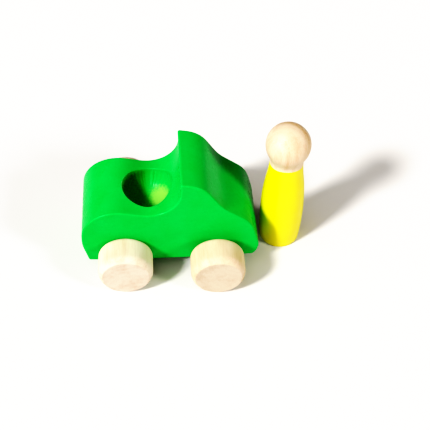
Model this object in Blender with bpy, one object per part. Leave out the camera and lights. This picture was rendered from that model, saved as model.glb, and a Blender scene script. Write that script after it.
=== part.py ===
"""Small wooden toy car with a lift-out peg driver, built piece by piece.

The car is a sawn block with two loose wooden dowels as axles. Each dowel has a turned wheel glued
on both ends and rolls in its bore. The peg driver stands on the floor just past the nose.
+X runs to the nose, +Y to the car's left side and +Z up. The origin is on the floor, under the
middle of the whole toy. Metres.
"""
import math

import bmesh
import bpy
from mathutils import Vector

MM = 0.001

# Driving dimensions of the body block
BODY_WIDTH = 33.0 * MM
EDGE_EASING = 1.0 * MM
SEAT_HOLE_RADIUS = 11.0 * MM
SEAT_HOLE_AT = 29.6 * MM          # behind the nose, measured from the rear end
SEAT_BOTTOM_ROUNDING = 10.5 * MM  # the bit has a ball nose
SEAT_BOTTOM_HEIGHT = 27.6 * MM    # above the floor that the wheels stand on

# Driving dimensions of the running gear
WHEEL_RADIUS = 12.0 * MM
WHEEL_THICKNESS = 13.5 * MM
WHEEL_OUTER_ROUNDING = 5.0 * MM     # domed edge of the tread, cut off by the outer face
WHEEL_OUTER_SWEEP = math.radians(50.0)
WHEEL_INNER_ROUNDING = 3.0 * MM
REAR_AXLE_AT = 18.6 * MM
WHEELBASE = 40.5 * MM
DOWEL_RADIUS = 2.5 * MM
FIT_GAP = 0.3 * MM                # running gap in the bores, glue gap in the wheels
WHEEL_HOLE_DEPTH = 8.0 * MM
END_PLAY = 3.0 * MM               # how far an axle can slide sideways in all
REST_SHIFT = 1.2 * MM             # how far each axle has slid at rest

# Driving dimensions of the peg driver
DRIVER_AT = (89.9 * MM, 1.2 * MM)
HEAD_RADIUS = 9.7 * MM
HEAD_HEIGHT = 59.1 * MM
FOOT_RADIUS = 8.9 * MM
FOOT_ROUNDING = 0.9 * MM

# Side outline of the block: corners of a polygon (from the rear end, above the floor) and the
# radius that rounds each corner. It runs from the rear underside over the top to the nose.
OUTLINE_CORNERS = (
    ("rear_toe", 2.2, 8.0, 1.2),
    ("rear_bulge", 0.0, 18.2, 12.0),
    ("rear_deck", 0.6, 43.4, 16.0),
    ("seat_dip", 45.7, 32.4, 14.0),
    ("windshield_top", 43.5, 55.2, 0.8),
    ("brow", 53.0, 53.6, 13.0),
    ("scoop", 61.8, 39.2, 17.5),
    ("hood", 74.4, 29.2, 14.5),
    ("nose", 78.8, 11.9, 8.7),
    ("nose_toe", 75.6, 7.8, 1.2),
    ("belly_front", 60.0, 7.0, 60.0),
    ("belly_rear", 16.0, 7.0, 60.0),
)

# Peg driver between its foot and its head: (height, radius), joined by a smooth curve
PEG_KNOTS = (
    (0.9, 8.9),
    (6.0, 9.35),
    (14.0, 9.65),
    (22.0, 9.62),
    (30.0, 9.25),
    (37.0, 8.55),
    (43.0, 7.75),
    (48.5, 7.3),
    (52.0, 7.55),
)

ARC_STEP = math.radians(7.5)
ROUNDING_STEP = math.radians(22.5)
HEAD_STEP = math.radians(9.0)
TURNED_STEPS = 48

GREEN = ("green_lacquer", (0.0, 0.55, 0.05), 0.25)
MAPLE = ("natural_maple", (0.80, 0.60, 0.36), 0.55)
DOWEL = ("dowel_birch", (0.74, 0.56, 0.35), 0.6)
YELLOW = ("yellow_paint", (0.90, 0.80, 0.02), 0.35)


def clear_scene():
    for old in list(bpy.data.objects):
        bpy.data.objects.remove(old, do_unlink=True)


def make_material(name, colour, roughness):
    material = bpy.data.materials.get(name) or bpy.data.materials.new(name)
    material.use_nodes = True
    shader = material.node_tree.nodes["Principled BSDF"]
    shader.inputs["Base Color"].default_value = (*colour, 1.0)
    shader.inputs["Roughness"].default_value = roughness
    shader.inputs["Metallic"].default_value = 0.0
    return material


def add_object(name, mesh):
    obj = bpy.data.objects.new(name, mesh)
    bpy.context.scene.collection.objects.link(obj)
    return obj


def add_empty(name, location):
    empty = bpy.data.objects.new(name, None)
    empty.location = location
    bpy.context.scene.collection.objects.link(empty)
    return empty


def arc_points(centre, radius, start, turn, step=ARC_STEP):
    """Points on an arc from angle start through the signed angle turn, ends included."""
    steps = max(1, math.ceil(abs(turn) / step - 0.001))
    angles = [start + turn * i / steps for i in range(steps + 1)]
    return [centre + radius * Vector((math.cos(a), math.sin(a))) for a in angles]


def rounded_outline(corners):
    """Replace each corner of a closed polygon by an arc that touches both of its sides."""
    places = [Vector((x, z)) * MM for _, x, z, _ in corners]
    points = []
    for i, (_, _, _, radius) in enumerate(corners):
        here = places[i]
        to_last = (places[i - 1] - here).normalized()
        to_next = (places[(i + 1) % len(places)] - here).normalized()
        half_angle = to_last.angle(to_next) / 2.0
        tangent = radius * MM / math.tan(half_angle)
        centre = here + (to_last + to_next).normalized() * radius * MM / math.sin(half_angle)
        first = here + to_last * tangent - centre
        last = here + to_next * tangent - centre
        start = math.atan2(first.y, first.x)
        turn = (math.atan2(last.y, last.x) - start + math.pi) % (2.0 * math.pi) - math.pi
        points += arc_points(centre, radius * MM, start, turn)
    return points


def turned_mesh(name, profile):
    """A lathe profile (radius, height), top to bottom on its outer side, as a bare line."""
    mesh = bpy.data.meshes.new(name)
    points = [(radius, 0.0, height) for radius, height in profile]
    mesh.from_pydata(points, [(i, i + 1) for i in range(len(points) - 1)], [])
    return mesh


def turn_on_lathe(obj):
    """Sweep the object's profile once around its own Z axis and close it at the poles."""
    screw = obj.modifiers.new("turned", "SCREW")
    screw.axis = "Z"
    screw.steps = TURNED_STEPS
    screw.render_steps = TURNED_STEPS
    screw.use_merge_vertices = True
    screw.merge_threshold = 0.00001
    screw.use_smooth_shade = True


def add_cutter(name, radius, depth, location, rotation=(0.0, 0.0, 0.0)):
    bpy.ops.mesh.primitive_cylinder_add(
        vertices=TURNED_STEPS, radius=radius, depth=depth, location=location, rotation=rotation)
    cutter = bpy.context.active_object
    cutter.name = name
    cutter.hide_render = True
    cutter.display_type = "WIRE"
    return cutter


def cut(obj, cutter):
    boolean = obj.modifiers.new(cutter.name, "BOOLEAN")
    boolean.operation = "DIFFERENCE"
    boolean.solver = "EXACT"
    boolean.object = cutter


def seat_profile():
    """The ball-nosed bit that bores the seat hole: a straight shank and a rounded end."""
    rounding = SEAT_BOTTOM_ROUNDING
    shank_top = 32.0 * MM
    centre = Vector((SEAT_HOLE_RADIUS - rounding, rounding))
    nose = arc_points(centre, rounding, 0.0, -math.pi / 2.0, HEAD_STEP)
    shank = [(0.0, shank_top), (SEAT_HOLE_RADIUS, shank_top)]
    return shank + [tuple(p) for p in nose] + [(0.0, 0.0)]


def build_body(outline, place_x):
    """The block: the side outline pushed across the width, eased, then bored."""
    mesh = bpy.data.meshes.new("car_body")
    shape = bmesh.new()
    right_side = [shape.verts.new((p.x + place_x, -BODY_WIDTH / 2.0, p.y)) for p in outline]
    cap = shape.faces.new(right_side)
    pushed = bmesh.ops.extrude_face_region(shape, geom=[cap])["geom"]
    far_side = [v for v in pushed if isinstance(v, bmesh.types.BMVert)]
    bmesh.ops.translate(shape, verts=far_side, vec=(0.0, BODY_WIDTH, 0.0))
    bmesh.ops.recalc_face_normals(shape, faces=shape.faces[:])
    shape.to_mesh(mesh)
    shape.free()
    mesh.materials.append(make_material(*GREEN))

    body = add_object("car_body", mesh)
    easing = body.modifiers.new("eased_edges", "BEVEL")
    easing.width = EDGE_EASING
    easing.segments = 3
    easing.limit_method = "ANGLE"
    easing.angle_limit = math.radians(60.0)

    ball_nose = add_object("seat_hole_cutter", turned_mesh("seat_hole_cutter", seat_profile()))
    ball_nose.location = (place_x + SEAT_HOLE_AT, 0.0, SEAT_BOTTOM_HEIGHT)
    ball_nose.hide_render = True
    ball_nose.display_type = "WIRE"
    turn_on_lathe(ball_nose)
    cut(body, ball_nose)
    across = (math.pi / 2.0, 0.0, 0.0)
    for name, at in (("rear", REAR_AXLE_AT), ("front", REAR_AXLE_AT + WHEELBASE)):
        centre = (place_x + at, 0.0, WHEEL_RADIUS)
        bore = add_cutter(name + "_bore_cutter", DOWEL_RADIUS + FIT_GAP, 2.0 * BODY_WIDTH,
                          centre, across)
        cut(body, bore)
    return body


def wheel_profile():
    """Outer face, rounded tread, inner face and the blind hole for the dowel."""
    outer = WHEEL_OUTER_ROUNDING
    inner = WHEEL_INNER_ROUNDING
    quarter = math.pi / 2.0
    sweep = WHEEL_OUTER_SWEEP
    outer_centre = Vector((WHEEL_RADIUS - outer, WHEEL_THICKNESS - outer * math.sin(sweep)))
    inner_centre = Vector((WHEEL_RADIUS - inner, inner))
    hole_radius = DOWEL_RADIUS + FIT_GAP
    rim = arc_points(outer_centre, outer, sweep, -sweep, ROUNDING_STEP / 2.0)
    rim += arc_points(inner_centre, inner, 0.0, -quarter, ROUNDING_STEP)
    hole = [(hole_radius, 0.0), (hole_radius, WHEEL_HOLE_DEPTH), (0.0, WHEEL_HOLE_DEPTH)]
    return [(0.0, WHEEL_THICKNESS)] + [tuple(p) for p in rim] + hole


def dowel_profile():
    """A plain dowel with small chamfers, as long as its two wheels' holes allow."""
    half = (BODY_WIDTH + END_PLAY) / 2.0 + WHEEL_HOLE_DEPTH - FIT_GAP
    chamfer = 0.5 * MM
    return [(0.0, half), (DOWEL_RADIUS - chamfer, half), (DOWEL_RADIUS, half - chamfer),
            (DOWEL_RADIUS, chamfer - half), (DOWEL_RADIUS - chamfer, -half), (0.0, -half)]


def build_axle_set(end, centre, shift, wheel_mesh, dowel_mesh):
    """One dowel and the two wheels glued on it, under an empty on the turning axis."""
    axis = add_empty(end + "_axle_axis", centre)
    across = (math.pi / 2.0, 0.0, 0.0)
    axle = add_object(end + "_axle", dowel_mesh)
    axle.parent = axis
    axle.location = (0.0, shift, 0.0)
    axle.rotation_euler = across
    turn_on_lathe(axle)
    inner_face = (BODY_WIDTH + END_PLAY) / 2.0
    for side, sign in (("right", -1.0), ("left", 1.0)):
        wheel = add_object(end + "_" + side + "_wheel", wheel_mesh)
        wheel.parent = axis
        wheel.location = (0.0, shift + sign * inner_face, 0.0)
        wheel.rotation_euler = (-sign * math.pi / 2.0, 0.0, 0.0)
        turn_on_lathe(wheel)


def smooth_curve(knots, steps):
    """Catmull-Rom curve through the knots; the end tangents point along the end spans."""
    places = [Vector(k) * MM for k in knots]
    places = [places[0] * 2.0 - places[1]] + places + [places[-1] * 2.0 - places[-2]]
    curve = []
    for a, b, c, d in zip(places, places[1:], places[2:], places[3:]):
        for i in range(steps):
            t = i / steps
            curve.append(0.5 * (2.0 * b + (c - a) * t + (2.0 * a - 5.0 * b + 4.0 * c - d) * t ** 2
                                + (3.0 * b - 3.0 * c + d - a) * t ** 3))
    curve.append(places[-2])
    return curve


def driver_profile():
    """Ball head, thick neck, long barrel-shaped body and an eased foot, from the top down."""
    stem = smooth_curve(PEG_KNOTS, 2)
    neck = stem[-1]
    below_centre = HEAD_HEIGHT - neck.x
    meet = math.atan2(-below_centre, math.sqrt(HEAD_RADIUS ** 2 - below_centre ** 2))
    head_centre = Vector((0.0, HEAD_HEIGHT))
    blend = 0.22
    turn = meet + blend - math.pi / 2.0
    head = arc_points(head_centre, HEAD_RADIUS, math.pi / 2.0, turn, HEAD_STEP)
    foot_centre = Vector((FOOT_RADIUS - FOOT_ROUNDING, FOOT_ROUNDING))
    foot = arc_points(foot_centre, FOOT_ROUNDING, 0.0, -math.pi / 2.0, ROUNDING_STEP)
    head[0].x = 0.0
    rings = [tuple(p) for p in head]
    rings += [(p.y, p.x) for p in reversed(stem[1:])]
    rings += [tuple(p) for p in foot]
    return rings + [(0.0, 0.0)]


def build_driver(place_x):
    mesh = turned_mesh("driver_peg", driver_profile())
    mesh.materials.append(make_material(*YELLOW))
    driver = add_object("driver_peg", mesh)
    driver.location = (place_x + DRIVER_AT[0], DRIVER_AT[1], 0.0)
    turn_on_lathe(driver)
    return driver


def main():
    clear_scene()
    outline = rounded_outline(OUTLINE_CORNERS)
    rear_end = min(p.x for p in outline)
    front_end = DRIVER_AT[0] + HEAD_RADIUS
    place_x = -(rear_end + front_end) / 2.0

    build_body(outline, place_x)
    wheel_mesh = turned_mesh("wheel", wheel_profile())
    wheel_mesh.materials.append(make_material(*MAPLE))
    dowel_mesh = turned_mesh("dowel", dowel_profile())
    dowel_mesh.materials.append(make_material(*DOWEL))
    rear_centre = (place_x + REAR_AXLE_AT, 0.0, WHEEL_RADIUS)
    front_centre = (place_x + REAR_AXLE_AT + WHEELBASE, 0.0, WHEEL_RADIUS)
    build_axle_set("rear", rear_centre, REST_SHIFT, wheel_mesh, dowel_mesh)
    build_axle_set("front", front_centre, -REST_SHIFT, wheel_mesh, dowel_mesh)
    build_driver(place_x)


main()
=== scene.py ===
import math

import bmesh
import bpy
import numpy as np
from bpy.props import FloatProperty, FloatVectorProperty, IntProperty, PointerProperty
from mathutils import Matrix, Vector


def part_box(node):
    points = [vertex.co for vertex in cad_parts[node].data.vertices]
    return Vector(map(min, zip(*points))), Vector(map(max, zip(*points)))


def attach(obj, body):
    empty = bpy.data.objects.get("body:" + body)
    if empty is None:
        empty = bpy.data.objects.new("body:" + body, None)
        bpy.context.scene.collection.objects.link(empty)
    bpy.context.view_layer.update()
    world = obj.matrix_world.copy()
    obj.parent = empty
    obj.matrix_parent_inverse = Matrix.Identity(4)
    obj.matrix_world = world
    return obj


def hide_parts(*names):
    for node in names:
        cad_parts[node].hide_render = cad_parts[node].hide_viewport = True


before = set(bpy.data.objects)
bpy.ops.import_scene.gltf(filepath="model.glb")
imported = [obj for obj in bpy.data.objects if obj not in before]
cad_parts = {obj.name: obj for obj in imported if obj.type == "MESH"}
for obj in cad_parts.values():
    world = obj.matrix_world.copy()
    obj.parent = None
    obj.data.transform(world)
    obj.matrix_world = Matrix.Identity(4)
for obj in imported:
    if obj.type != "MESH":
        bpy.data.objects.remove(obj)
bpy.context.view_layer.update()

bl_info = {
    "name": "Wooden Toy Car with Peg Driver",
    "version": (1, 0, 0),
    "blender": (4, 5, 0),
    "location": "3D View > Sidebar > Toy Car",
    "description": "Builds a lacquered wooden toy car, its turned wheels and its peg driver",
    "category": "Add Mesh",
}

MM = 0.001
WELD = 0.0005 * MM  # points nearer than this become one

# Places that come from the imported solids
BODY_LO, BODY_HI = (Vector(c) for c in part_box("car_body"))
DRIVER_LO, DRIVER_HI = (Vector(c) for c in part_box("driver_peg"))
WHEELS = {
    "rear_right_wheel": "rear_wheelset",
    "rear_left_wheel": "rear_wheelset",
    "front_right_wheel": "front_wheelset",
    "front_left_wheel": "front_wheelset",
}
AXLES = {"rear_axle": "rear_wheelset", "front_axle": "front_wheelset"}

# Side outline of the block: polygon corners (mm from its tail, mm above the floor) and rounding
OUTLINE_CORNERS = (
    ("rear_toe", 2.2, 8.0, 1.3),
    ("rear_bulge", 0.0, 18.2, 12.0),
    ("rear_deck", 0.6, 43.4, 16.0),
    ("seat_dip", 45.7, 32.4, 14.0),
    ("windshield_top", 43.5, 55.2, 0.85),
    ("brow", 53.0, 53.6, 13.0),
    ("scoop", 61.8, 39.2, 17.5),
    ("hood", 74.4, 29.2, 14.5),
    ("nose", 78.8, 11.9, 8.7),
    ("nose_toe", 75.6, 7.8, 1.3),
    ("belly_front", 60.0, 7.0, 60.0),
    ("belly_rear", 16.0, 7.0, 60.0),
)
CRISP_CORNERS = ("rear_toe", "windshield_top", "nose_toe")

# The deck runs from the tail to the seat dip: its length, and the heights that it lies between
DECK_LENGTH = 44.5 * MM
DECK_LOW, DECK_HIGH = 30.0 * MM, 49.2 * MM

# Patch of the deck round the seat hole's axis that is meshed apart: aft, fore and to each side
PATCH_AFT, PATCH_FORE, PATCH_SIDE = 14.2 * MM, 13.2 * MM, 14.3 * MM

# The driver between its foot and its head: (mm above the floor, radius in mm)
DRIVER_KNOTS = (
    (0.9, 8.9),
    (6.0, 9.35),
    (14.0, 9.65),
    (22.0, 9.62),
    (30.0, 9.25),
    (37.0, 8.55),
    (43.0, 7.75),
    (48.5, 7.25),
    (52.0, 7.0),
    (58.0, 6.8),
)

# Normal of the dark growth layer's plane through the head, and where the layer is darkest
LAYER_NORMAL = (0.520, 0.720, -0.457)
LAYER_TOWARDS = (0.426, 0.288, 0.859)

# Camera: millimetres from the foot of the tail, and its yaw, dip and roll in degrees
CAMERA_AT = (36.816, -262.63, 330.28)
CAMERA_TURN = (4.92, 50.0, 1.5)
FLOOR_HALF = 3.0

# Tone curve of a contrasty exposure: (light in, light out), white at TONE_WHITE
TONE_WHITE = 1.1
TONE_POINTS = (
    (0.045, 0.005),
    (0.10, 0.03),
    (0.18, 0.105),
    (0.26, 0.21),
    (0.40, 0.43),
    (0.60, 0.655),
    (0.80, 0.86),
    (0.92, 0.955),
)


# ---------------------------------------------------------------------------------------------
# Shapes as arrays
# ---------------------------------------------------------------------------------------------

def fillet_outline(corners, step):
    """Closed outline in metres. Each polygon corner becomes an arc that touches both sides: its
    centre lies on the bisector at radius over the sine of the half angle."""
    place = np.array([(x, z) for _, x, z, _ in corners]) * MM
    radius = np.array([r for _, _, _, r in corners]) * MM
    to_last = np.roll(place, 1, axis=0) - place
    to_next = np.roll(place, -1, axis=0) - place
    to_last /= np.linalg.norm(to_last, axis=1)[:, None]
    to_next /= np.linalg.norm(to_next, axis=1)[:, None]
    half = np.arccos(np.sum(to_last * to_next, axis=1)) / 2.0
    middle = to_last + to_next
    middle /= np.linalg.norm(middle, axis=1)[:, None]
    centre = place + middle * (radius / np.sin(half))[:, None]
    first = place + to_last * (radius / np.tan(half))[:, None] - centre
    last = place + to_next * (radius / np.tan(half))[:, None] - centre
    start = np.arctan2(first[:, 1], first[:, 0])
    turn = (np.arctan2(last[:, 1], last[:, 0]) - start + math.pi) % (2.0 * math.pi) - math.pi
    arcs = []
    for c, r, a, t in zip(centre, radius, start, turn):
        count = max(2, int(abs(t) * r / step) + 2)
        angle = a + t * np.linspace(0.0, 1.0, count)
        arcs.append(c + r * np.stack([np.cos(angle), np.sin(angle)], axis=1))
    return np.concatenate(arcs)


def resample_closed(points, count):
    """Points at even arc length round a closed line."""
    ring = np.vstack([points, points[:1]])
    length = np.concatenate([[0.0], np.cumsum(np.linalg.norm(np.diff(ring, axis=0), axis=1))])
    at = np.arange(count) * length[-1] / count
    return np.stack([np.interp(at, length, ring[:, k]) for k in range(2)], axis=1), length[-1]


def relax_closed(points, perimeter, spread, keep):
    """Running Gaussian mean round a closed line, faded out where keep is 1."""
    count = len(points)
    offset = np.minimum(np.arange(count), count - np.arange(count)) * perimeter / count
    bell = np.exp(-0.5 * (offset / spread) ** 2)
    bell /= bell.sum()
    mean = np.fft.ifft(np.fft.fft(points, axis=0) * np.fft.fft(bell)[:, None], axis=0).real
    return mean + (points - mean) * keep[:, None]


class Outline:
    """The block's side outline as functions of arc length, with its outward normal."""

    def __init__(self, dense_count=12000):
        raw, perimeter = resample_closed(fillet_outline(OUTLINE_CORNERS, 0.02 * MM), dense_count)
        crisp = np.array([(x, z) for n, x, z, _ in OUTLINE_CORNERS if n in CRISP_CORNERS]) * MM
        gap = np.min(np.linalg.norm(raw[:, None, :] - crisp[None], axis=2), axis=1)
        keep = np.clip((5.0 * MM - gap) / (3.0 * MM), 0.0, 1.0)
        soft = relax_closed(raw, perimeter, 1.3 * MM, keep * keep * (3.0 - 2.0 * keep))
        soft[:, 0] += BODY_LO.x - soft[:, 0].min()
        tangent = np.roll(soft, -1, axis=0) - np.roll(soft, 1, axis=0)
        tangent /= np.linalg.norm(tangent, axis=1)[:, None]
        self.points = soft
        self.normals = np.stack([-tangent[:, 1], tangent[:, 0]], axis=1)
        self.perimeter = perimeter
        self.arc = np.arange(dense_count) * perimeter / dense_count

    def read(self, table, at):
        return np.stack([np.interp(at, self.arc, table[:, k], period=self.perimeter)
                         for k in range(2)], axis=-1)

    def place(self, at):
        return self.read(self.points, at)

    def normal(self, at):
        found = self.read(self.normals, at)
        return found / np.linalg.norm(found, axis=-1)[..., None]

    def arc_on_deck(self, x):
        """Arc length where the upper side of the block, tail to seat dip, passes x."""
        height = self.points[:, 1]
        chosen = (height > DECK_LOW) & (height < DECK_HIGH)
        chosen &= self.points[:, 0] < BODY_LO.x + DECK_LENGTH
        order = np.argsort(self.points[chosen, 0])
        return np.interp(x, self.points[chosen, 0][order], self.arc[chosen][order])


def grid_quads(index, wrap_rows=False, drop=None):
    """Quads between neighbouring entries of a grid of vertex numbers."""
    cells = np.vstack([index, index[:1]]) if wrap_rows else index
    quads = np.stack([cells[:-1, :-1], cells[:-1, 1:], cells[1:, 1:], cells[1:, :-1]], axis=-1)
    if drop is not None:
        quads = quads[~drop]
    return quads.reshape(-1, 4)


class Shell:
    """Collects grids of points and joins them into one closed mesh."""

    def __init__(self):
        self.points = []
        self.quads = []
        self.count = 0

    def add(self, grid, **wrap):
        rows, columns = grid.shape[:2]
        index = np.arange(rows * columns).reshape(rows, columns) + self.count
        self.points.append(grid.reshape(-1, 3))
        self.quads.append(grid_quads(index, **wrap))
        self.count += rows * columns

    def build(self, name, sharp=math.radians(50.0)):
        mesh = bpy.data.meshes.new(name)
        points = np.concatenate(self.points)
        mesh.from_pydata(points.tolist(), [], np.concatenate(self.quads).tolist())
        shape = bmesh.new()
        shape.from_mesh(mesh)
        bmesh.ops.remove_doubles(shape, verts=shape.verts, dist=WELD)
        bmesh.ops.dissolve_degenerate(shape, dist=WELD, edges=shape.edges)
        bmesh.ops.recalc_face_normals(shape, faces=shape.faces)
        shape.to_mesh(mesh)
        shape.free()
        mesh.shade_smooth()
        mesh.set_sharp_from_angle(angle=sharp)
        obj = bpy.data.objects.new(name, mesh)
        bpy.context.scene.collection.objects.link(obj)
        return obj


def mesh_points(obj):
    """Every vertex of a mesh as an array."""
    flat = np.empty(len(obj.data.vertices) * 3)
    obj.data.vertices.foreach_get("co", flat)
    return flat.reshape(-1, 3)


def store_value(obj, name, values):
    """One number for each vertex, which a material can read by name."""
    layer = obj.data.attributes.new(name, "FLOAT", "POINT")
    layer.data.foreach_set("value", values.astype(np.float32))


def smooth_step(value, low, high):
    t = np.clip((value - low) / (high - low), 0.0, 1.0)
    return t * t * (3.0 - 2.0 * t)


def arc_profile(centre, radius, start, stop, count):
    angle = np.linspace(start, stop, count)
    return np.array(centre) + radius * np.stack([np.cos(angle), np.sin(angle)], axis=1)


def densify(profile, step):
    """Adds even points along the straight runs of a profile."""
    parts = []
    for a, b in zip(profile[:-1], profile[1:]):
        count = max(1, int(np.linalg.norm(b - a) / step))
        parts.append(a + (b - a) * np.arange(count)[:, None] / count)
    parts.append(profile[-1:])
    return np.concatenate(parts)


def lathe(profile, steps, origin, axis, ripple=None):
    """A profile of (radius, height) carried round an axis: origin plus radius times the turned
    unit vector plus height along the axis. ripple adds to the radius at each (angle, point)."""
    axis = np.array(axis, dtype=float)
    across = np.cross(axis, (1.0, 0.0, 0.0))
    across /= np.linalg.norm(across)
    other = np.cross(axis, across)
    angle = np.arange(steps) * 2.0 * math.pi / steps
    radius = np.repeat(profile[None, :, 0], steps, axis=0)
    if ripple is not None:
        radius = radius + ripple(angle[:, None], profile[None, :, 1]) * (radius > 1.0 * MM)
    turned = np.cos(angle)[:, None] * across + np.sin(angle)[:, None] * other
    return (np.array(origin) + radius[..., None] * turned[:, None, :]
            + profile[None, :, 1, None] * axis)


# ---------------------------------------------------------------------------------------------
# Materials
# ---------------------------------------------------------------------------------------------

def add_node(tree, kind, inputs=None, **settings):
    """A node with its settings, and its inputs set to values or linked to outputs."""
    node = tree.nodes.new(kind)
    for key, value in settings.items():
        setattr(node, key, value)
    for key, value in (inputs or {}).items():
        socket = node.inputs[key]
        if isinstance(value, bpy.types.NodeSocket):
            tree.links.new(value, socket)
        else:
            socket.default_value = value
    return node


def maths(tree, operation, first, second=0.0, clamp=False):
    node = add_node(tree, "ShaderNodeMath", {0: first, 1: second}, operation=operation)
    node.use_clamp = clamp
    return node.outputs[0]


def plus(tree, first, second):
    return maths(tree, "ADD", first, second)


def times(tree, first, second):
    return maths(tree, "MULTIPLY", first, second)


def ranged(tree, value, low, high, to_low=0.0, to_high=1.0, smooth=True):
    node = add_node(tree, "ShaderNodeMapRange",
                    {"Value": value, "From Min": low, "From Max": high,
                     "To Min": to_low, "To Max": to_high},
                    interpolation_type="SMOOTHSTEP" if smooth else "LINEAR")
    return node.outputs["Result"]


def mixed(tree, factor, first, second, blend="MIX"):
    node = add_node(tree, "ShaderNodeMix", data_type="RGBA", blend_type=blend)
    for key, value in ((0, factor), (6, first), (7, second)):
        if isinstance(value, bpy.types.NodeSocket):
            tree.links.new(value, node.inputs[key])
        else:
            node.inputs[key].default_value = value
    return node.outputs[2]


def stretched(tree, vector, scale):
    return add_node(tree, "ShaderNodeMapping", {"Vector": vector, "Scale": scale}).outputs[0]


def noise(tree, vector, scale, detail=3.0, roughness=0.55):
    node = add_node(tree, "ShaderNodeTexNoise",
                    {"Vector": vector, "Scale": scale, "Detail": detail,
                     "Roughness": roughness})
    return node.outputs["Fac"]


def new_group(name, inputs, outputs):
    """An empty shader group; inputs and outputs are (name, socket type, default)."""
    tree = bpy.data.node_groups.new(name, "ShaderNodeTree")
    for label, kind, default in inputs:
        socket = tree.interface.new_socket(label, in_out="INPUT", socket_type=kind)
        if default is not None:
            socket.default_value = default
    for label, kind in outputs:
        tree.interface.new_socket(label, in_out="OUTPUT", socket_type=kind)
    return tree, tree.nodes.new("NodeGroupInput").outputs, tree.nodes.new("NodeGroupOutput").inputs


SURFACE_OUTPUTS = (("Color", "NodeSocketColor"), ("Roughness", "NodeSocketFloat"),
                   ("Height", "NodeSocketFloat"))


def wood_grain_group():
    """Growth rings round a pith line along Z, fibres and short pores along it, and slow figure.
    Lengths are in millimetres."""
    found = bpy.data.node_groups.get("wood_grain")
    if found:
        return found
    tree, given, result = new_group(
        "wood_grain",
        [("Vector", "NodeSocketVector", None),
         ("Pale Wood", "NodeSocketColor", (0.80, 0.62, 0.40, 1.0)),
         ("Late Wood", "NodeSocketColor", (0.55, 0.34, 0.17, 1.0)),
         ("Ring Width", "NodeSocketFloat", 2.2),
         ("Ring Strength", "NodeSocketFloat", 0.35),
         ("Fibre Strength", "NodeSocketFloat", 0.3),
         ("Figure Strength", "NodeSocketFloat", 0.3)],
        SURFACE_OUTPUTS)
    vector = given["Vector"]
    wander = noise(tree, stretched(tree, vector, (1.0, 1.0, 0.12)), 0.11, 2.0)
    jitter = noise(tree, stretched(tree, vector, (1.0, 1.0, 0.06)), 0.9, 3.0)
    flat = add_node(tree, "ShaderNodeVectorMath", {0: vector, 1: (1.0, 1.0, 0.0)},
                    operation="MULTIPLY").outputs[0]
    radius = add_node(tree, "ShaderNodeVectorMath", {0: flat}, operation="LENGTH").outputs[1]
    warped = plus(tree, radius, times(tree, wander, 7.0))
    warped = plus(tree, warped, times(tree, jitter, 0.55))
    phase = maths(tree, "FRACT", maths(tree, "DIVIDE", warped, given["Ring Width"]))
    rise = ranged(tree, phase, 0.25, 0.93)
    fall = ranged(tree, phase, 0.94, 1.0, 1.0, 0.0)
    ring = times(tree, rise, fall)
    uneven = ranged(tree, noise(tree, vector, 0.16, 2.0), 0.3, 0.7, 0.35, 1.0)
    ring = times(tree, ring, uneven)
    fibre = noise(tree, stretched(tree, vector, (1.0, 1.0, 0.045)), 2.6, 4.0, 0.6)
    fibre = ranged(tree, fibre, 0.34, 0.70)
    pores = noise(tree, stretched(tree, vector, (1.0, 1.0, 0.09)), 6.5, 2.0, 0.5)
    pores = ranged(tree, pores, 0.62, 0.75)
    figure = ranged(tree, noise(tree, stretched(tree, vector, (1.0, 1.0, 0.30)), 0.13, 3.0, 0.6),
                    0.40, 0.72)
    shade = times(tree, ring, given["Ring Strength"])
    shade = plus(tree, shade, times(tree, fibre, given["Fibre Strength"]))
    shade = plus(tree, shade, times(tree, figure, given["Figure Strength"]))
    shade = maths(tree, "ADD", shade, times(tree, pores, 0.16), clamp=True)
    tree.links.new(mixed(tree, shade, given["Pale Wood"], given["Late Wood"]), result["Color"])
    tree.links.new(ranged(tree, shade, 0.0, 1.0, 0.50, 0.66, smooth=False), result["Roughness"])
    height = maths(tree, "SUBTRACT", times(tree, fibre, 0.5), pores)
    tree.links.new(height, result["Height"])
    return tree


def paint_film_group():
    """Brushed lacquer: slow mottle of colour where the film is thicker, faint fibres of the wood
    telegraphed through it, a fine orange peel and rubbed patches of roughness."""
    found = bpy.data.node_groups.get("paint_film")
    if found:
        return found
    tree, given, result = new_group(
        "paint_film",
        [("Vector", "NodeSocketVector", None),
         ("Thin Film", "NodeSocketColor", (0.0, 0.6, 0.05, 1.0)),
         ("Thick Film", "NodeSocketColor", (0.0, 0.5, 0.04, 1.0)),
         ("Mottle", "NodeSocketFloat", 0.4),
         ("Sheen Roughness", "NodeSocketFloat", 0.3),
         ("Rubbed Roughness", "NodeSocketFloat", 0.4)],
        SURFACE_OUTPUTS)
    vector = given["Vector"]
    slow = ranged(tree, noise(tree, vector, 0.10, 3.0, 0.6), 0.32, 0.68)
    fibre = noise(tree, stretched(tree, vector, (0.05, 1.0, 1.0)), 2.2, 3.0)
    fibre = ranged(tree, fibre, 0.3, 0.7)
    shade = plus(tree, times(tree, slow, 0.75), times(tree, fibre, 0.25))
    shade = times(tree, shade, given["Mottle"])
    tree.links.new(mixed(tree, shade, given["Thin Film"], given["Thick Film"]), result["Color"])
    rubbed = ranged(tree, noise(tree, vector, 0.22, 4.0, 0.6), 0.42, 0.66)
    span = maths(tree, "SUBTRACT", given["Rubbed Roughness"], given["Sheen Roughness"])
    rough = plus(tree, given["Sheen Roughness"], times(tree, rubbed, span))
    tree.links.new(rough, result["Roughness"])
    peel = noise(tree, vector, 1.4, 2.0, 0.45)
    swell = noise(tree, vector, 0.35, 1.0, 0.4)
    height = plus(tree, times(tree, peel, 0.25), times(tree, swell, 0.75))
    height = plus(tree, height, times(tree, fibre, 0.10))
    tree.links.new(height, result["Height"])
    return tree


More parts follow.
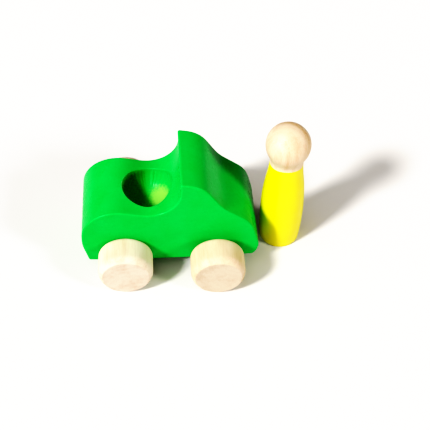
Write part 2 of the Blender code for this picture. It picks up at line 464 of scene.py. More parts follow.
def new_material(name):
    material = bpy.data.materials.new(name)
    material.use_nodes = True
    tree = material.node_tree
    return material, tree, tree.nodes["Principled BSDF"]


def millimetres(tree, turn=(0.0, 0.0, 0.0), shift=(0.0, 0.0, 0.0)):
    """Object coordinates in millimetres, turned and then shifted."""
    where = tree.nodes.new("ShaderNodeTexCoord").outputs["Object"]
    node = add_node(tree, "ShaderNodeMapping",
                    {"Vector": where, "Scale": (1000.0,) * 3, "Rotation": turn,
                     "Location": shift})
    return node.outputs[0]


def stored(tree, name):
    """The value that store_value left on the mesh."""
    return add_node(tree, "ShaderNodeAttribute", attribute_name=name).outputs["Fac"]


def between(tree, factor, first, second):
    """A number between two others."""
    node = add_node(tree, "ShaderNodeMix", {0: factor, 2: first, 3: second}, data_type="FLOAT")
    return node.outputs[0]


def place_group(tree, group, inputs):
    return add_node(tree, "ShaderNodeGroup", inputs, node_tree=group).outputs


def dress(tree, shader, colour, rough, height, distance):
    """Link the colour, the roughness and the bump of a surface to its shader."""
    bump = add_node(tree, "ShaderNodeBump", {"Height": height, "Distance": distance})
    tree.links.new(colour, shader.inputs["Base Color"])
    tree.links.new(rough, shader.inputs["Roughness"])
    tree.links.new(bump.outputs[0], shader.inputs["Normal"])


def bare_wood_material(name, turn, shift, pale, late, ring_width, strengths, end_tint):
    """Turned and sanded bare wood with its pith line beside or through the piece; the cut ends
    are tinted."""
    material, tree, shader = new_material(name)
    rings, fibres, figure = strengths
    grain = place_group(tree, wood_grain_group(), {
        "Vector": millimetres(tree, turn, shift), "Pale Wood": (*pale, 1.0),
        "Late Wood": (*late, 1.0), "Ring Width": ring_width, "Ring Strength": rings,
        "Fibre Strength": fibres, "Figure Strength": figure})
    ends = stored(tree, "end_grain")
    colour = mixed(tree, ends, grain["Color"], (*end_tint, 1.0), "MULTIPLY")
    dress(tree, shader, colour, grain["Roughness"], grain["Height"], 0.03 * MM)
    shader.inputs["Specular IOR Level"].default_value = 0.25
    return material


def lacquer_material(settings):
    """Green lacquer. In the seat hole it is thin over the drilled bottom and darkened on its
    shadowed side by painted shade; a lighter line on part of the rim is partly rubbed paint,
    partly a painted highlight."""
    material, tree, shader = new_material("green_lacquer")
    vector = millimetres(tree)
    film = place_group(tree, paint_film_group(), {
        "Vector": vector, "Thin Film": (*settings.thin_green, 1.0),
        "Thick Film": (*settings.thick_green, 1.0), "Mottle": 0.7,
        "Sheen Roughness": 0.27, "Rubbed Roughness": 0.36})
    bare = stored(tree, "thin_paint")
    speck = noise(tree, vector, 1.1, 3.0, 0.6)
    worn = plus(tree, bare, times(tree, maths(tree, "SUBTRACT", speck, 0.5), 0.8))
    worn = ranged(tree, worn, 0.25, 0.95)
    colour = mixed(tree, worn, film["Color"], (*settings.stained_wood, 1.0))
    # Painted shade: darker green on the shadowed side of the seat hole
    shade_in_hole = stored(tree, "painted_hole_shade")
    colour = mixed(tree, shade_in_hole, colour, (*settings.painted_shade_green, 1.0))
    # A lighter line on part of the rim: partly rubbed paint, partly a painted highlight
    rubbed = stored(tree, "rubbed_and_highlit_rim")
    rubbed = times(tree, rubbed, ranged(tree, noise(tree, vector, 0.8, 2.0), 0.3, 0.6))
    colour = mixed(tree, rubbed, colour, (*settings.rubbed_and_highlight_green, 1.0))
    rough = plus(tree, film["Roughness"], times(tree, worn, 0.5))
    dress(tree, shader, colour, rough, film["Height"], 0.035 * MM)
    shader.inputs["Specular IOR Level"].default_value = 0.08
    return material


def dipped_peg_material(settings):
    """Bare turned wood above the dip line and yellow paint below it."""
    material, tree, shader = new_material("yellow_painted_peg")
    centre = (DRIVER_LO + DRIVER_HI) / 2.0
    grain = place_group(tree, wood_grain_group(), {
        "Vector": millimetres(tree, shift=(-centre.x / MM + 6.0, -centre.y / MM + 9.0, 0.0)),
        "Pale Wood": (*settings.pale_wood, 1.0), "Late Wood": (*settings.late_wood, 1.0),
        "Ring Width": 3.1, "Ring Strength": 0.20, "Fibre Strength": 0.26,
        "Figure Strength": 0.42})
    film = place_group(tree, paint_film_group(), {
        "Vector": millimetres(tree, turn=(0.0, math.pi / 2.0, 0.0)),
        "Thin Film": (*settings.yellow, 1.0), "Thick Film": (*settings.deep_yellow, 1.0),
        "Mottle": 0.5, "Sheen Roughness": 0.33, "Rubbed Roughness": 0.42})
    depth = stored(tree, "above_paint")
    ragged = noise(tree, millimetres(tree), 1.6, 3.0, 0.6)
    edge = plus(tree, depth, times(tree, maths(tree, "SUBTRACT", ragged, 0.5), 0.35))
    painted = ranged(tree, edge, -0.06, 0.06, 1.0, 0.0)
    layer = stored(tree, "dark_layer")
    streak = ranged(tree, noise(tree, millimetres(tree), 0.9, 4.0, 0.65), 0.32, 0.62, 0.3, 1.0)
    wood = mixed(tree, times(tree, layer, streak), grain["Color"], (*settings.late_wood, 1.0))
    colour = mixed(tree, painted, wood, film["Color"])
    rough = between(tree, painted, grain["Roughness"], film["Roughness"])
    height = between(tree, painted, grain["Height"], film["Height"])
    dress(tree, shader, colour, rough, height, 0.03 * MM)
    return material


# ---------------------------------------------------------------------------------------------
# Settings
# ---------------------------------------------------------------------------------------------

def length_setting(name, description, default):
    return FloatProperty(name=name, description=description, default=default, unit="LENGTH")


def angle_setting(name, description, default):
    return FloatProperty(name=name, description=description, default=default, subtype="ANGLE")


def colour_setting(name, description, default):
    return FloatVectorProperty(name=name, description=description, default=default,
                               subtype="COLOR", size=3)


def strength_setting(name, description, default):
    return FloatProperty(name=name, description=description, default=default)


class CarBodySettings(bpy.types.PropertyGroup):
    """Sizes and colours of the lacquered block."""
    # Painted shade: dark green for the shadowed side of the seat hole's wall
    painted_shade_green: colour_setting(
        "Pooled lacquer", "Green where lacquer pooled in the hole", (0.0, 0.185, 0.012))
    # Partly rubbed paint, partly a painted highlight: a lighter green line on the part of the rim
    # towards the light
    rubbed_and_highlight_green: colour_setting(
        "Rubbed lacquer", "Green where the hole's rim is rubbed thin", (0.12, 0.46, 0.16))
    edge_easing: length_setting(
        "Edge easing", "Rounding sanded along the block's side edges", 0.6 * MM)
    seat_radius: length_setting("Seat hole radius", "Radius of the driver's hole", 11.0 * MM)
    seat_from_tail: length_setting(
        "Seat from tail", "Distance of the hole's axis from the tail", 29.566 * MM)
    seat_bottom: length_setting(
        "Seat bottom height", "Height of the hole's lowest point above the floor", 27.6 * MM)
    seat_rounding: length_setting(
        "Seat bottom rounding", "Radius of the bit's ball nose", 10.5 * MM)
    rib_depth: length_setting(
        "Torn fibre depth", "Height of the ribs that the bit left in the wall", 0.24 * MM)
    seat_rim: length_setting("Seat rim easing", "Rounding of the hole's mouth", 0.5 * MM)
    bore_radius: length_setting(
        "Axle bore radius", "Radius of the two bores across the block", 2.8 * MM)
    thin_green: colour_setting("Thin lacquer", "Green where the film is thin", (0.0, 0.422, 0.074))
    thick_green: colour_setting(
        "Thick lacquer", "Green where the film is thick", (0.0, 0.377, 0.054))
    stained_wood: colour_setting(
        "Stained wood", "Drilled wood that took up little paint", (0.19, 0.50, 0.085))


class WheelSettings(bpy.types.PropertyGroup):
    """Sizes and colours of the wheels and their dowels."""
    outer_rounding: length_setting(
        "Outer rounding", "Radius of the dome that runs into the outer face", 5.0 * MM)
    outer_sweep: angle_setting(
        "Outer sweep", "Angle at which the outer face cuts off the dome", math.radians(50.0))
    face_easing: length_setting("Face easing", "Rounding sanded round the outer face", 0.3 * MM)
    inner_rounding: length_setting(
        "Inner rounding", "Rounding between the tread and the inner face", 2.0 * MM)
    hole_radius: length_setting("Hole radius", "Radius of the blind hole for the dowel", 2.8 * MM)
    hole_depth: length_setting("Hole depth", "Depth of the blind hole for the dowel", 8.0 * MM)
    steps: IntProperty(
        name="Steps", description="Facets round one wheel", default=144, min=24, max=512)
    pale_wood: colour_setting("Pale wood", "Early wood of the wheels", (0.68, 0.575, 0.42))
    late_wood: colour_setting(
        "Late wood", "Late wood, fibres and figure of the wheels", (0.48, 0.33, 0.19))
    end_tint: colour_setting(
        "End tint", "Factor on the colour of the rear wheels' faces", (0.86, 0.84, 0.885))
    front_tint: colour_setting(
        "Front end tint", "Factor on the colour of the front wheels' faces", (0.83, 0.88, 0.96))


class DriverSettings(bpy.types.PropertyGroup):
    """Sizes and colours of the peg driver."""
    head_radius: length_setting("Head radius", "Radius of the round head", 9.7 * MM)
    head_height: length_setting(
        "Head height", "Height of the head's centre above the foot", 59.1 * MM)
    paint_line: length_setting("Paint line", "Height that the driver was dipped to", 48.9 * MM)
    paint_thickness: length_setting("Paint thickness", "Step of the paint's edge", 0.06 * MM)
    steps: IntProperty(
        name="Steps", description="Facets round the driver", default=160, min=24, max=512)
    pale_wood: colour_setting("Pale wood", "Early wood of the head", (0.66, 0.535, 0.37))
    late_wood: colour_setting("Late wood", "Late wood and figure of the head", (0.50, 0.28, 0.14))
    yellow: colour_setting("Yellow", "Paint where it is thin", (0.74, 0.66, 0.0))
    deep_yellow: colour_setting("Deep yellow", "Paint where it is thick", (0.68, 0.59, 0.0))


class StageSettings(bpy.types.PropertyGroup):
    """The floor, the light and the camera."""
    key_strength: strength_setting("Key light", "Strength of the key light", 4.5)
    key_softness: angle_setting(
        "Key softness", "Angle that the key light spans", math.radians(9.5))
    return_strength: strength_setting(
        "Return light", "Strength of the light thrown back from the right", 1.9)
    return_softness: angle_setting(
        "Return softness", "Angle that the return light spans", math.radians(11.0))
    broad_strength: strength_setting(
        "Broad light", "Strength of the wide soft light round the key", 1.7)
    broad_softness: angle_setting(
        "Broad softness", "Angle that the broad light spans", math.radians(95.0))
    fill_strength: strength_setting("Fill light", "Strength of the light from all round", 0.05)
    view_angle: angle_setting(
        "View angle", "Angle that the camera sees across", 2.0 * math.atan(215.0 / 900.0))


# ---------------------------------------------------------------------------------------------
# Pieces
# ---------------------------------------------------------------------------------------------

def finish_piece(obj, material, node, body):
    obj.data.materials.clear()
    obj.data.materials.append(material)
    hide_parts(node)
    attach(obj, body)


def wave_sum(angle, seeds, rng):
    """A sum of sine waves round a circle with random size and phase."""
    size = rng.uniform(0.4, 1.0, len(seeds))
    phase = rng.uniform(0.0, 2.0 * math.pi, len(seeds))
    return sum(a * np.sin(n * angle + p) for a, n, p in zip(size, seeds, phase)) / len(seeds)


class TOYCAR_OT_body(bpy.types.Operator):
    """Build the lacquered block with its seat hole and axle bores"""
    bl_idname = "toycar.body"
    bl_label = "Car Body"

    def execute(self, context):
        settings = context.scene.toycar_body
        outline = Outline()
        shell = Shell()
        half = (BODY_HI.y - BODY_LO.y) / 2.0
        ease = settings.edge_easing
        rows = 720
        arc = np.arange(rows) * outline.perimeter / rows
        place = outline.place(arc)
        normal = outline.normal(arc)

        # Across the block: a flat ring on each side face, the eased edges and the width
        turn = np.linspace(math.pi / 2.0, 0.0, 9)
        edge = np.stack([ease - ease * np.cos(turn), -(half - ease) - ease * np.sin(turn)], axis=1)
        width = np.linspace(-(half - ease), half - ease, 65)[1:-1]
        side = np.vstack([[[ease + 0.12 * MM, -half]], edge])
        across = np.vstack([side, np.stack([np.zeros_like(width), width], axis=1),
                            side[::-1] * (1.0, -1.0)])
        inset = across[:, 0]
        wrap = np.empty((rows, len(across), 3))
        wrap[..., 0] = place[:, None, 0] - normal[:, None, 0] * inset
        wrap[..., 1] = across[None, :, 1]
        wrap[..., 2] = place[:, None, 1] - normal[:, None, 1] * inset

        # The cells round the seat hole are left out of the wrap
        seat_x = BODY_LO.x + settings.seat_from_tail
        arc_low, arc_high = outline.arc_on_deck(
            np.array([seat_x - PATCH_AFT, seat_x + PATCH_FORE]))
        first, last = (int(round(a * rows / outline.perimeter)) for a in (arc_low, arc_high))
        inside = np.abs(across[:, 1]) < PATCH_SIDE
        left, right = np.flatnonzero(inside)[[0, -1]]
        drop = np.zeros((rows, len(across) - 1), dtype=bool)
        drop[first:last, left:right] = True
        shell.add(wrap, wrap_rows=True, drop=drop)

        # The deck round the hole, blended in arc length and width from that frame to the rim
        down = np.arange(first, last)
        over = np.arange(left, right)
        frame_rows = np.concatenate([down, np.full(len(over), last), down[::-1] + 1,
                                     np.full(len(over), first)])
        frame_cols = np.concatenate([np.full(len(down), left), over, np.full(len(down), right),
                                     over[::-1] + 1])
        frame_arc = arc[frame_rows]
        frame_y = across[frame_cols, 1]
        seat_arc = outline.arc_on_deck(np.array([seat_x]))[0]
        theta = np.arctan2(frame_y, frame_arc - seat_arc)
        slope_at = outline.normal(outline.arc_on_deck(
            seat_x + settings.seat_radius * np.cos(theta)))
        slope = -slope_at[:, 0] / slope_at[:, 1] * np.cos(theta)
        tilt = np.arctan(slope)
        rim = settings.seat_rim * np.ones_like(theta)
        radius = settings.seat_radius
        outer = radius + rim - rim * np.sin(tilt)
        rim_arc = outline.arc_on_deck(seat_x + outer * np.cos(theta))
        blend = np.linspace(0.0, 1.0, 15) ** 1.15
        deck_arc = rim_arc[:, None] + (frame_arc - rim_arc)[:, None] * blend
        rim_y = outer * np.sin(theta)
        deck_y = rim_y[:, None] + (frame_y - rim_y)[:, None] * blend
        deck_xz = outline.place(deck_arc)
        deck = np.stack([deck_xz[..., 0], deck_y, deck_xz[..., 1]], axis=-1)
        deck[:, -1] = wrap[frame_rows, frame_cols]

        # The rounded mouth, the bored wall and the ball-shaped bottom, from the deck inwards
        mouth_z = outline.place(rim_arc)[:, 1]
        centre_z = mouth_z - rim * np.cos(tilt)
        sweep = np.linspace(0.0, 1.0, 8)[1:]
        angle = (math.pi / 2.0 + tilt)[:, None] * (1.0 - sweep) + math.pi * sweep
        mouth_r = (radius + rim)[:, None] + rim[:, None] * np.cos(angle)
        mouth_z = centre_z[:, None] + rim[:, None] * np.sin(angle)
        rng = np.random.default_rng(7)
        ribs = wave_sum(theta, (23, 31, 37, 47, 59), rng)[:, None]
        rounding = settings.seat_rounding
        equator = settings.seat_bottom + rounding
        shank = np.maximum(centre_z - equator, 0.0)[:, None]
        first_angle = np.arcsin(np.maximum(equator - centre_z, 0.0) / rounding)[:, None]
        down_hole = np.linspace(0.0, 1.0, 45)[1:]
        run = (shank + rounding * (math.pi / 2.0 - first_angle)) * down_hole
        ball = np.maximum(run - shank, 0.0) / rounding + first_angle
        wall_z = np.where(run < shank, centre_z[:, None] - run,
                          equator - rounding * np.sin(ball))
        wall_r = np.where(run < shank, radius, radius - rounding + rounding * np.cos(ball))
        step_in = radius - (radius - rounding + rounding * np.cos(first_angle))
        wall_r = wall_r + step_in * (1.0 - smooth_step(down_hole, 0.0, 0.5))
        fade = smooth_step(down_hole, 0.0, 0.10) * (1.0 - smooth_step(down_hole, 0.35, 0.6))
        wall_r = wall_r + settings.rib_depth * ribs * fade
        shrink = np.linspace(1.0, 0.0, 4)[1:]
        floor_r = np.broadcast_to((radius - rounding) * shrink, (len(theta), 3))
        floor_z = np.full((len(theta), 3), settings.seat_bottom)
        well_r = np.hstack([outer[:, None], mouth_r, wall_r, floor_r])
        well_z = np.hstack([outline.place(rim_arc)[:, 1:], mouth_z, wall_z, floor_z])
        well = np.stack([seat_x + well_r * np.cos(theta)[:, None],
                         well_r * np.sin(theta)[:, None], well_z], axis=-1)
        well[:, 0] = deck[:, 0]
        shell.add(deck, wrap_rows=True)
        shell.add(well, wrap_rows=True)

        # Side faces: each half of the outline is drawn in to the round mouth of its axle bore
        bores = {}
        for axle in AXLES:
            low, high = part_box(axle)
            bores[axle] = ((low[0] + high[0]) / 2.0, (low[2] + high[2]) / 2.0)
        split_x = (bores["rear_axle"][0] + bores["front_axle"][0]) / 2.0
        ring_x = wrap[:, 0, 0]
        step = np.roll(ring_x, -1) - ring_x
        top = int(np.flatnonzero((ring_x <= split_x) & (np.roll(ring_x, -1) > split_x)
                                 & (step > 0))[0])
        base = int(np.flatnonzero((ring_x > split_x) & (np.roll(ring_x, -1) <= split_x)
                                  & (step < 0))[0])
        cut = np.linspace(0.0, 1.0, 42)[1:-1, None]
        ring = wrap[:, 0][:, (0, 2)]
        seam = ring[top] + (ring[base] - ring[top]) * cut
        fore = np.concatenate([ring[top:base + 1], seam[::-1]])
        aft = np.concatenate([np.roll(ring, -base, axis=0)[:(top - base) % rows + 1], seam])
        for axle, border in (("front_axle", fore), ("rear_axle", aft)):
            centre = np.array(bores[axle])
            reach = border - centre
            true = np.unwrap(np.arctan2(reach[:, 1], reach[:, 0]))
            even = true[0] + (true[-1] - true[0] + math.copysign(
                2.0 * math.pi / len(true), true[-1] - true[0])) * np.arange(len(true)) / len(true)
            spin = 0.6 * true + 0.4 * (even + (true - even).mean())
            hole = centre + settings.bore_radius * np.stack([np.cos(spin), np.sin(spin)], axis=1)
            pull = np.linspace(0.0, 1.0, 7)[None, :, None] ** 1.5
            flat = hole[:, None] + (border - hole)[:, None] * pull
            for y in (-half, half):
                cap = np.stack([flat[..., 0], np.full(flat.shape[:2], y), flat[..., 1]], axis=-1)
                shell.add(cap, wrap_rows=True)
            tube_y = np.linspace(-half, half, 12)
            tube = np.empty((len(hole), 12, 3))
            tube[..., 0] = hole[:, None, 0]
            tube[..., 1] = tube_y
            tube[..., 2] = hole[:, None, 1]
            shell.add(tube, wrap_rows=True)

        obj = shell.build("car_body_block")
        points = mesh_points(obj)
        from_axis = np.hypot(points[:, 0] - seat_x, points[:, 1])
        above_bores, shade_top, deck_low = 20.0 * MM, 37.5 * MM, 34.0 * MM
        in_well = (from_axis < radius + 0.2 * MM) & (points[:, 2] > above_bores)
        bare_at = (seat_x + 5.2 * MM, 1.2 * MM, settings.seat_bottom + 1.2 * MM)
        away = np.linalg.norm(points - bare_at, axis=1)
        store_value(obj, "thin_paint", in_well * (1.0 - smooth_step(away, 1.0 * MM, 10.0 * MM)))
        # Painted shade: darker lacquer inside the hole, below the rim and on its tail side, where
        # the hole lies in shadow
        below_rim = smooth_step(shade_top - points[:, 2], 0.0, 2.5 * MM)
        shaded = 1.0 - smooth_step(points[:, 0] - seat_x, -4.0 * MM, 2.5 * MM)
        store_value(obj, "painted_hole_shade", in_well * below_rim * shaded)
        # A lighter line round the rim's tail and near side, which faces the light: partly rubbed
        # paint, partly a painted highlight
        bearing = np.arctan2(points[:, 1], points[:, 0] - seat_x)
        facing = 0.5 + 0.5 * np.cos(bearing + math.radians(140.0))
        ring = np.exp(-((from_axis - radius - 0.2 * MM) / (0.22 * MM)) ** 2)
        on_rim = (points[:, 2] > deck_low) & (np.abs(points[:, 1]) < half - 2.0 * MM)
        store_value(obj, "rubbed_and_highlit_rim", on_rim * ring * smooth_step(facing, 0.45, 0.85))
        finish_piece(obj, lacquer_material(settings), "car_body", "car")
        return {"FINISHED"}


class TOYCAR_OT_wheels(bpy.types.Operator):
    """Turn the four wheels"""
    bl_idname = "toycar.wheels"
    bl_label = "Wheels"

    def execute(self, context):
        settings = context.scene.toycar_wheels
        rng = np.random.default_rng(21)
        # Turn of the grain, place of the pith and ring width in mm, strengths of rings, fibres and
        # figure, and factor on the colours
        looks = {
            "rear_right_wheel": (3.0, (7.0, 12.0), 2.7, (0.14, 0.22, 0.46), (1.02, 1.05, 1.10)),
            "rear_left_wheel": (1.1, (-9.0, 10.0), 2.4, (0.25, 0.22, 0.30), (1.0, 1.0, 1.0)),
            "front_right_wheel": (0.4, (-13.0, 6.0), 2.9, (0.08, 0.26, 0.46), (0.96, 0.91, 0.86)),
            "front_left_wheel": (4.4, (8.0, -12.0), 2.5, (0.22, 0.24, 0.34), (0.98, 0.96, 0.94)),
        }
        for name, body in WHEELS.items():
            low, high = (Vector(c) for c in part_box(name))
            centre = (low + high) / 2.0
            outward = math.copysign(1.0, centre.y)
            radius = (high.z - low.z) / 2.0
            thick = high.y - low.y
            outer = settings.outer_rounding
            inner = settings.inner_rounding
            ease = settings.face_easing
            quarter = math.pi / 2.0
            dome = (radius - outer, thick - outer * math.sin(settings.outer_sweep))
            rise = thick - ease - dome[1]
            face = dome[0] + math.sqrt((outer - ease) ** 2 - rise ** 2)
            meet = math.asin(rise / (outer - ease))
            profile = np.vstack([
                [[0.0, thick]],
                arc_profile((face, thick - ease), ease, quarter, meet, 6),
                arc_profile(dome, outer, meet, 0.0, 20)[1:],
                arc_profile((radius - inner, inner), inner, 0.0, -quarter, 8),
                [[settings.hole_radius, 0.0], [settings.hole_radius, settings.hole_depth],
                 [0.0, settings.hole_depth]]])
            profile = densify(profile, 1.0 * MM)
            phase = rng.uniform(0.0, 6.0, 4)

            def ripple(angle, height):
                return 0.02 * MM * (np.sin(2.0 * angle + phase[0]) + 0.5 * np.sin(
                    5.0 * angle + phase[1] + height / MM * 0.2))

            start = (centre.x, centre.y - outward * thick / 2.0, centre.z)
            shell = Shell()
            shell.add(lathe(profile, settings.steps, start, (0.0, outward, 0.0), ripple),
                      wrap_rows=True)
            obj = shell.build("turned_" + name)
            spin, pith, ring_width, strengths, tint = looks[name]
            points = mesh_points(obj)
            reach = np.hypot(points[:, 0] - start[0], points[:, 2] - start[2])
            store_value(obj, "end_grain", 1.0 - smooth_step(reach, face, face + 0.3 * MM))
            pale = [c * t for c, t in zip(settings.pale_wood, tint)]
            late = [c * t for c, t in zip(settings.late_wood, tint)]
            turn = Matrix.Rotation(spin, 3, "Z") @ Matrix.Rotation(math.pi / 2.0, 3, "X")
            shift = -(turn @ centre) / MM + Vector((*pith, rng.uniform(-40.0, 40.0)))
            end_tint = settings.front_tint if "front" in name else settings.end_tint
            material = bare_wood_material(name + "_wood", turn.to_euler(), shift, pale, late,
                                          ring_width, strengths, end_tint)
            finish_piece(obj, material, name, body)
        return {"FINISHED"}


class TOYCAR_OT_axles(bpy.types.Operator):
    """Cut the two axle dowels"""
    bl_idname = "toycar.axles"
    bl_label = "Axles"

    def execute(self, context):
        settings = context.scene.toycar_wheels
        for number, (name, body) in enumerate(AXLES.items()):
            low, high = (Vector(c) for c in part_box(name))
            centre = (low + high) / 2.0
            radius = (high.z - low.z) / 2.0
            half = (high.y - low.y) / 2.0
            chamfer = 0.5 * MM
            profile = np.array([(0.0, half), (radius - chamfer, half), (radius, half - chamfer),
                                (radius, chamfer - half), (radius - chamfer, -half), (0.0, -half)])
            shell = Shell()
            shell.add(lathe(densify(profile, 1.0 * MM), 64, centre, (0.0, 1.0, 0.0)),
                      wrap_rows=True)
            obj = shell.build("dowel_" + name, sharp=math.radians(30.0))
            turn = Matrix.Rotation(math.pi / 2.0, 3, "X")
            shift = -(turn @ centre) / MM + Vector((25.0, 8.0 + 5.0 * number, 30.0 * number))
            material = bare_wood_material(name + "_wood", turn.to_euler(), shift,
                                          settings.pale_wood, settings.late_wood, 1.6,
                                          (0.35, 0.35, 0.2), settings.end_tint)
            finish_piece(obj, material, name, body)
        return {"FINISHED"}


def catmull_rom(knots, per_span):
    """Smooth curve through knots: each span is the cubic whose end slopes are half the chord
    between the knots on either side."""
    ends = np.vstack([2.0 * knots[0] - knots[1], knots, 2.0 * knots[-1] - knots[-2]])
    a, b, c, d = ends[:-3, None], ends[1:-2, None], ends[2:-1, None], ends[3:, None]
    t = (np.arange(per_span) / per_span)[None, :, None]
    curve = 0.5 * (2.0 * b + (c - a) * t + (2.0 * a - 5.0 * b + 4.0 * c - d) * t ** 2
                   + (3.0 * b - 3.0 * c + d - a) * t ** 3)
    return np.vstack([curve.reshape(-1, 2), knots[-1:]])


class TOYCAR_OT_driver(bpy.types.Operator):
    """Turn the peg driver and dip its body in paint"""
    bl_idname = "toycar.driver"
    bl_label = "Peg Driver"

    def execute(self, context):
        settings = context.scene.toycar_driver
        axis = (DRIVER_LO + DRIVER_HI) / 2.0
        head_r = settings.head_radius
        head_z = settings.head_height
        line = settings.paint_line
        foot_r = DRIVER_KNOTS[0][1] * MM
        foot_ease = DRIVER_KNOTS[0][0] * MM

        # Above the foot the radius is the larger of the stem's curve and the ball's, rounded
        # where they meet by a quarter of the squared overlap
        stem = catmull_rom(np.array(DRIVER_KNOTS) * MM, 40)
        at_line = np.linspace(line - 0.8 * MM, line + 0.8 * MM, 17)
        heights = np.unique(np.concatenate([np.linspace(foot_ease, head_z, 150), at_line]))
        stem_r = np.interp(heights, stem[:, 0], stem[:, 1])
        ball_r = np.sqrt(np.maximum(head_r ** 2 - (heights - head_z) ** 2, 0.0))
        blend = 2.8 * MM
        near = np.maximum(blend - np.abs(stem_r - ball_r), 0.0) / blend
        radius = np.maximum(stem_r, ball_r) + near ** 2 * blend / 4.0
        radius[heights > head_z - 2.0 * MM] = ball_r[heights > head_z - 2.0 * MM]
        crown = arc_profile((0.0, head_z), head_r, math.pi / 2.0, 0.0, 60)[:-1]
        crown[0, 0] = 0.0
        foot = arc_profile((foot_r - foot_ease, foot_ease), foot_ease, 0.0, -math.pi / 2.0, 9)[1:]
        profile = np.vstack([crown, np.stack([radius, heights], axis=1)[::-1], foot,
                             densify(np.array([foot[-1], (0.0, 0.0)]), 1.0 * MM)[1:]])

        def line_at(angle):
            return line + 0.5 * MM * np.cos(2.0 * angle) + 0.12 * MM * np.sin(angle + 0.8)

        def ripple(angle, height):
            painted = 1.0 - smooth_step(height - line_at(angle), -0.10 * MM, 0.10 * MM)
            return settings.paint_thickness * painted + 0.015 * MM * np.sin(3.0 * angle + 0.4)

        shell = Shell()
        shell.add(lathe(profile, settings.steps, (axis.x, axis.y, 0.0), (0.0, 0.0, 1.0), ripple),
                  wrap_rows=True)
        obj = shell.build("peg_driver_figure", sharp=math.radians(60.0))
        points = mesh_points(obj)
        # The lathe's own starting direction for a vertical axis
        angle = np.arctan2(-(points[:, 0] - axis.x), points[:, 1] - axis.y)
        store_value(obj, "above_paint", (points[:, 2] - line_at(angle)) / MM)
        # One dark growth layer crosses the crown and runs down one side of the head
        out = (points - (axis.x, axis.y, head_z)) / head_r
        across = out @ LAYER_NORMAL + 0.05
        near = smooth_step(out @ LAYER_TOWARDS, 0.15, 0.95)
        store_value(obj, "dark_layer", np.exp(-(across / 0.17) ** 2) * near)
        finish_piece(obj, dipped_peg_material(settings), "driver_peg", "driver")
        return {"FINISHED"}


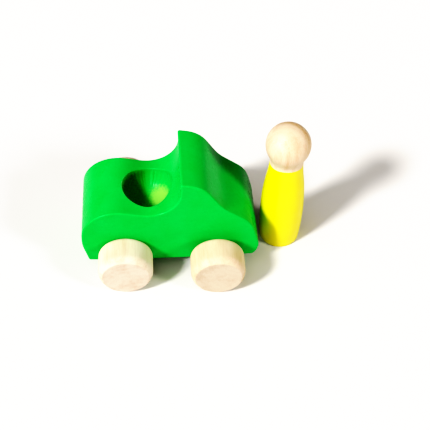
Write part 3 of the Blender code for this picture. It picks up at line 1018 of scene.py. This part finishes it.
class TOYCAR_OT_stage(bpy.types.Operator):
    """Set the pale floor, the light and the camera"""
    bl_idname = "toycar.stage"
    bl_label = "Stage"

    def execute(self, context):
        settings = context.scene.toycar_stage
        scene = context.scene
        scene.view_settings.view_transform = "Standard"
        scene.view_settings.use_curve_mapping = True
        tone = scene.view_settings.curve_mapping
        tone.white_level = (TONE_WHITE,) * 3
        for light_in, light_out in TONE_POINTS:
            tone.curves[3].points.new(light_in / TONE_WHITE, light_out)
        tone.update()

        mesh = bpy.data.meshes.new("floor")
        mesh.from_pydata([(x * FLOOR_HALF, y * FLOOR_HALF, 0.0)
                          for x, y in ((-1, -1), (1, -1), (1, 1), (-1, 1))], [], [(0, 1, 2, 3)])
        floor = bpy.data.objects.new("floor", mesh)
        scene.collection.objects.link(floor)
        material, _, shader = new_material("pale_floor")
        shader.inputs["Base Color"].default_value = (0.69, 0.675, 0.66, 1.0)
        shader.inputs["Roughness"].default_value = 0.8
        mesh.materials.append(material)

        world = bpy.data.worlds.new("soft_room")
        world.use_nodes = True
        background = world.node_tree.nodes["Background"]
        background.inputs["Color"].default_value = (1.0, 0.985, 0.97, 1.0)
        background.inputs["Strength"].default_value = settings.fill_strength
        scene.world = world

        lights = (
            ("key_light", settings.key_strength, settings.key_softness,
             (0.620, 0.426, -0.659), (1.0, 0.985, 0.965)),
            ("return_light", settings.return_strength, settings.return_softness,
             (-0.734, 0.459, -0.50), (1.0, 0.95, 0.90)),
            ("broad_light", settings.broad_strength, settings.broad_softness,
             (0.62, 0.43, -0.66), (1.0, 0.96, 0.92)),
        )
        for name, strength, softness, travel, tint in lights:
            lamp = bpy.data.lights.new(name, "SUN")
            lamp.energy = strength
            lamp.angle = softness
            lamp.color = tint
            light = bpy.data.objects.new(name, lamp)
            light.rotation_euler = Vector(travel).to_track_quat("-Z", "Y").to_euler()
            scene.collection.objects.link(light)

        data = bpy.data.cameras.new("camera")
        data.sensor_width = 36.0
        data.lens = data.sensor_width / 2.0 / math.tan(settings.view_angle / 2.0)
        camera = bpy.data.objects.new("camera", data)
        yaw, dip, roll = (math.radians(a) for a in CAMERA_TURN)
        forward = Vector((math.sin(yaw) * math.cos(dip), math.cos(yaw) * math.cos(dip),
                          -math.sin(dip)))
        level = Vector((math.cos(yaw), -math.sin(yaw), 0.0))
        rise = level.cross(forward)
        right = math.cos(roll) * level + math.sin(roll) * rise
        up = -math.sin(roll) * level + math.cos(roll) * rise
        turned = Matrix((right, up, -forward)).transposed().to_4x4()
        turned.translation = Vector(CAMERA_AT) * MM + Vector((BODY_LO.x, 0.0, 0.0))
        camera.matrix_world = turned
        scene.collection.objects.link(camera)
        scene.camera = camera
        return {"FINISHED"}


class TOYCAR_PT_panel(bpy.types.Panel):
    """Buttons and settings of the toy car"""
    bl_idname = "TOYCAR_PT_panel"
    bl_label = "Wooden Toy Car"
    bl_space_type = "VIEW_3D"
    bl_region_type = "UI"
    bl_category = "Toy Car"

    def draw(self, context):
        for attribute, operators in PANEL_ROWS:
            box = self.layout.box()
            for operator in operators:
                box.operator(operator.bl_idname)
            settings = getattr(context.scene, attribute)
            for name in settings.__annotations__:
                box.prop(settings, name)


SETTINGS = {
    "toycar_body": CarBodySettings,
    "toycar_wheels": WheelSettings,
    "toycar_driver": DriverSettings,
    "toycar_stage": StageSettings,
}
PANEL_ROWS = (
    ("toycar_body", (TOYCAR_OT_body,)),
    ("toycar_wheels", (TOYCAR_OT_wheels, TOYCAR_OT_axles)),
    ("toycar_driver", (TOYCAR_OT_driver,)),
    ("toycar_stage", (TOYCAR_OT_stage,)),
)
CLASSES = (*SETTINGS.values(), TOYCAR_OT_body, TOYCAR_OT_wheels, TOYCAR_OT_axles,
           TOYCAR_OT_driver, TOYCAR_OT_stage, TOYCAR_PT_panel)


def register():
    for item in CLASSES:
        bpy.utils.register_class(item)
    for name, group in SETTINGS.items():
        setattr(bpy.types.Scene, name, PointerProperty(type=group))


def unregister():
    for name in SETTINGS:
        delattr(bpy.types.Scene, name)
    for item in reversed(CLASSES):
        bpy.utils.unregister_class(item)


def main():
    register()
    bpy.ops.toycar.body()
    bpy.ops.toycar.wheels()
    bpy.ops.toycar.axles()
    bpy.ops.toycar.driver()
    bpy.ops.toycar.stage()


if __name__ == "__main__":
    main()
